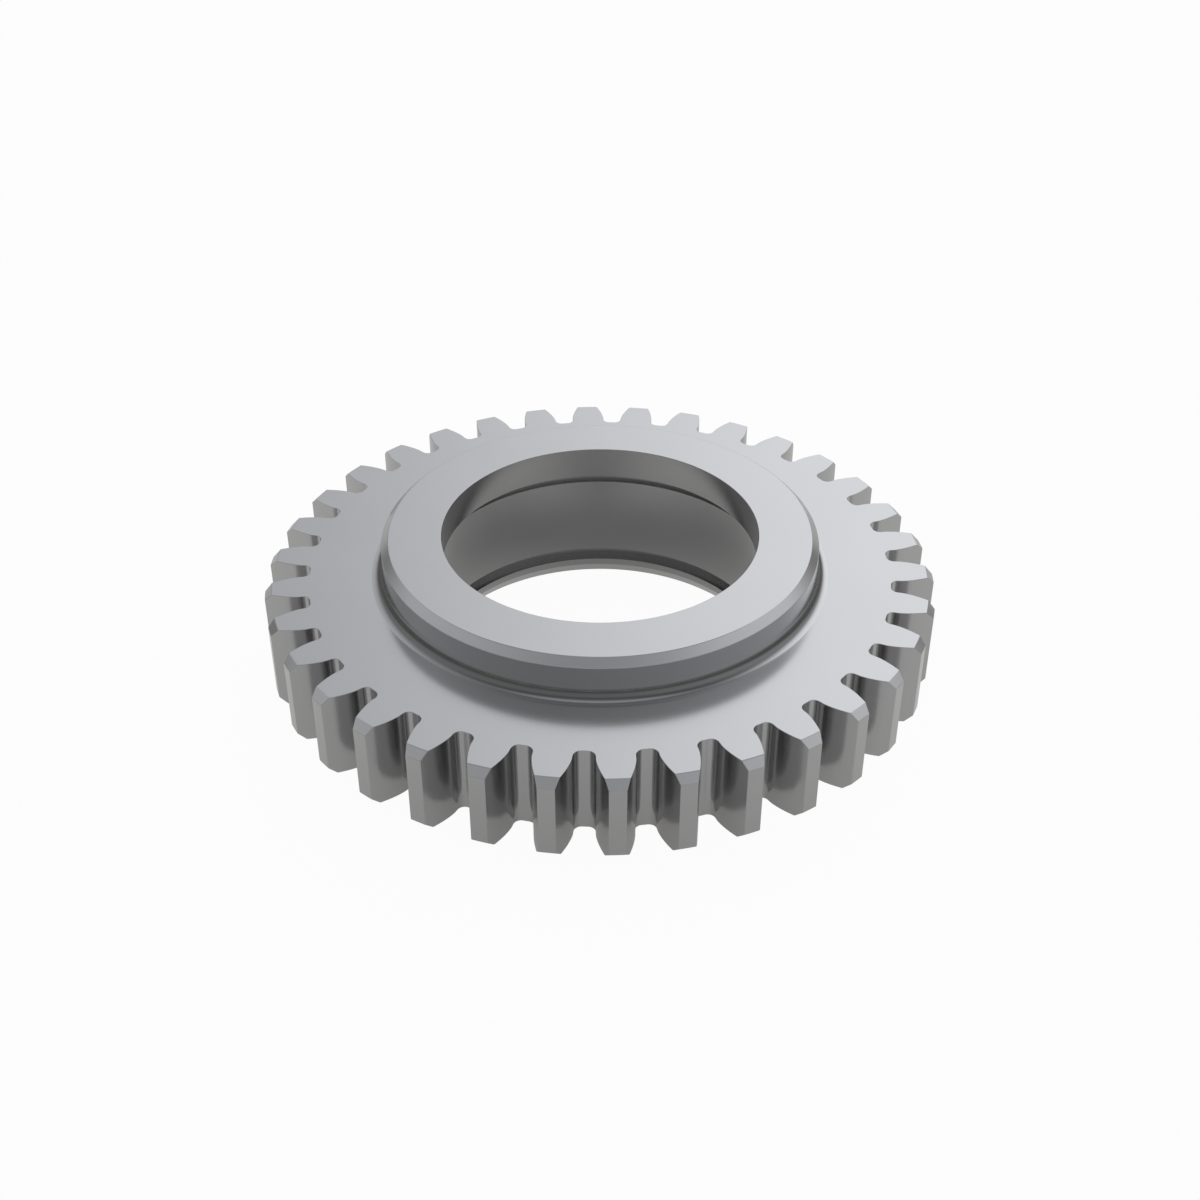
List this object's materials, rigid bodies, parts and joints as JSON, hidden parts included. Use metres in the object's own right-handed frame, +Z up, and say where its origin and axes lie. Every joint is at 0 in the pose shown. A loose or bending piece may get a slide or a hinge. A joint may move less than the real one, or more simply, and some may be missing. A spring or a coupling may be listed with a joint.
{
  "type": "idler gear",
  "caption": "One-piece spur idler gear with a hub on both sides and a shouldered bearing bore that takes a ball bearing and a snap ring.",
  "frame": {"origin": "on the bore's axis in the hub's bottom face, the face that the part rests on", "axes": "+Z up along the bore's axis, from the bore's mouth to its shoulder; +X through the centre of a tooth"},
  "size_m": [0.09, 0.0898, 0.023],
  "materials": {
    "steel": "fine machined, satin"
  },
  "bodies": {
    "root": {"idler_gear": "steel"}
  },
  "joints": []
}
